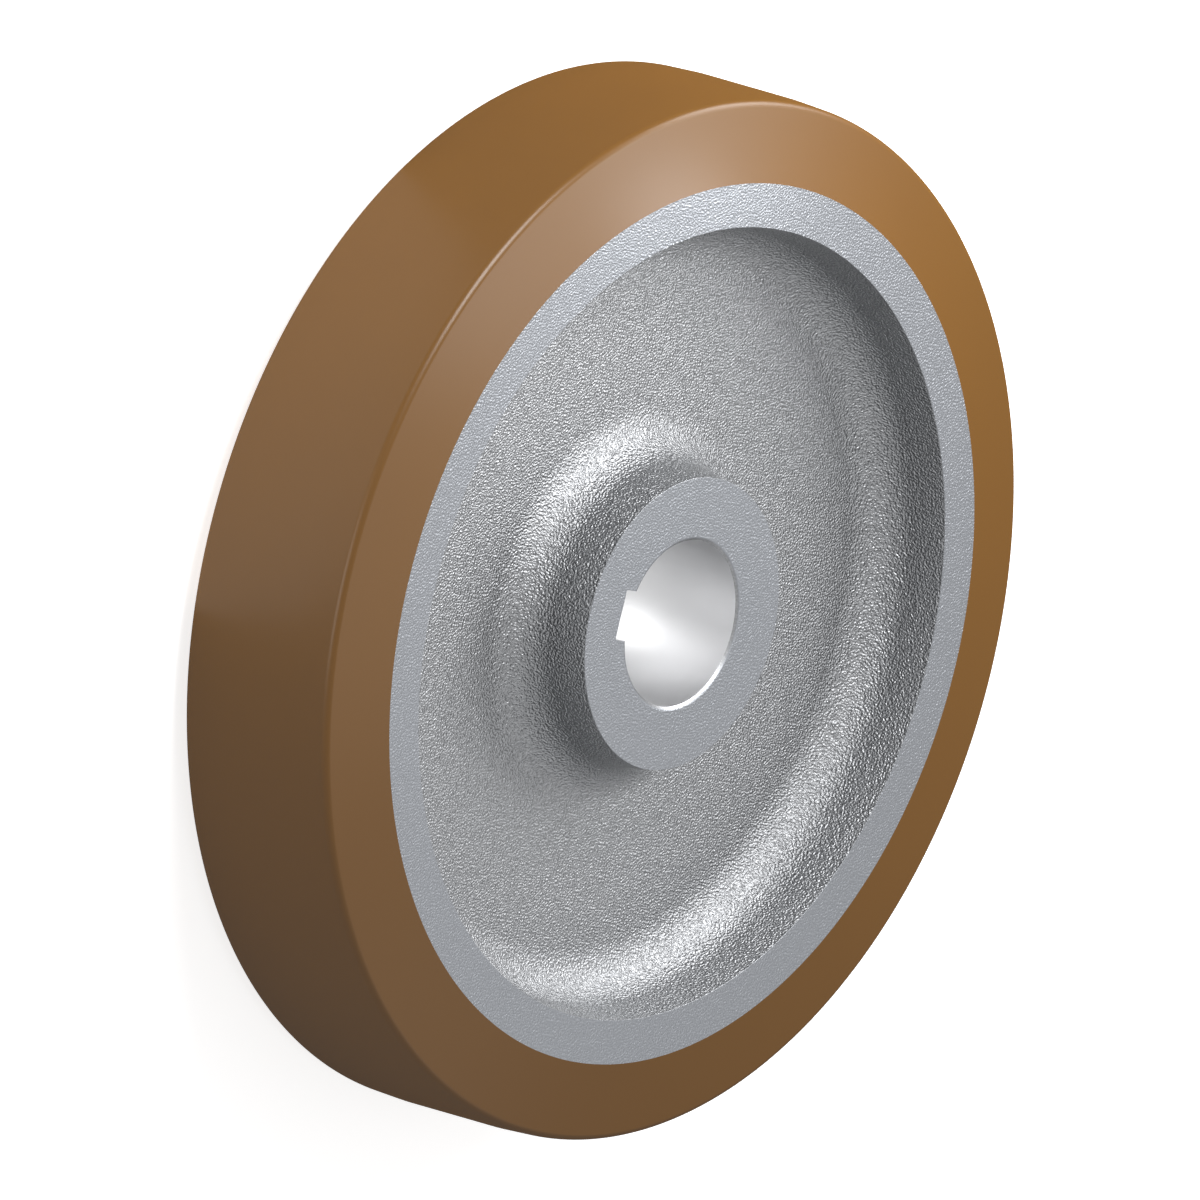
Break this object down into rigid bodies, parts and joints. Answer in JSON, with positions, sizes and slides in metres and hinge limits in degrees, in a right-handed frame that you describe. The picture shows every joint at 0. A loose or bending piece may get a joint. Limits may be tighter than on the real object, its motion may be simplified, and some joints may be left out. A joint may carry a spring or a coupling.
{
  "type": "drive wheel",
  "caption": "Cast wheel centre with a recessed web and a keyed bore, and a bonded smooth elastomer tread with sloping sides.",
  "frame": {"origin": "on the bore's axis, half-way through the wheel's width; the wheel lies on its -Z side face", "axes": "+Z along the axle's line, towards the upper side face; +X towards the keyway"},
  "size_m": [0.25, 0.25, 0.05],
  "materials": {
    "casting": "silver-grey paint over a rough cast skin, finer on the turned faces, bare bright metal in the bore",
    "tread": "smooth brown polyurethane with a soft gloss"
  },
  "bodies": {
    "root": {"wheel_centre": "casting", "tread": "tread"}
  },
  "joints": []
}
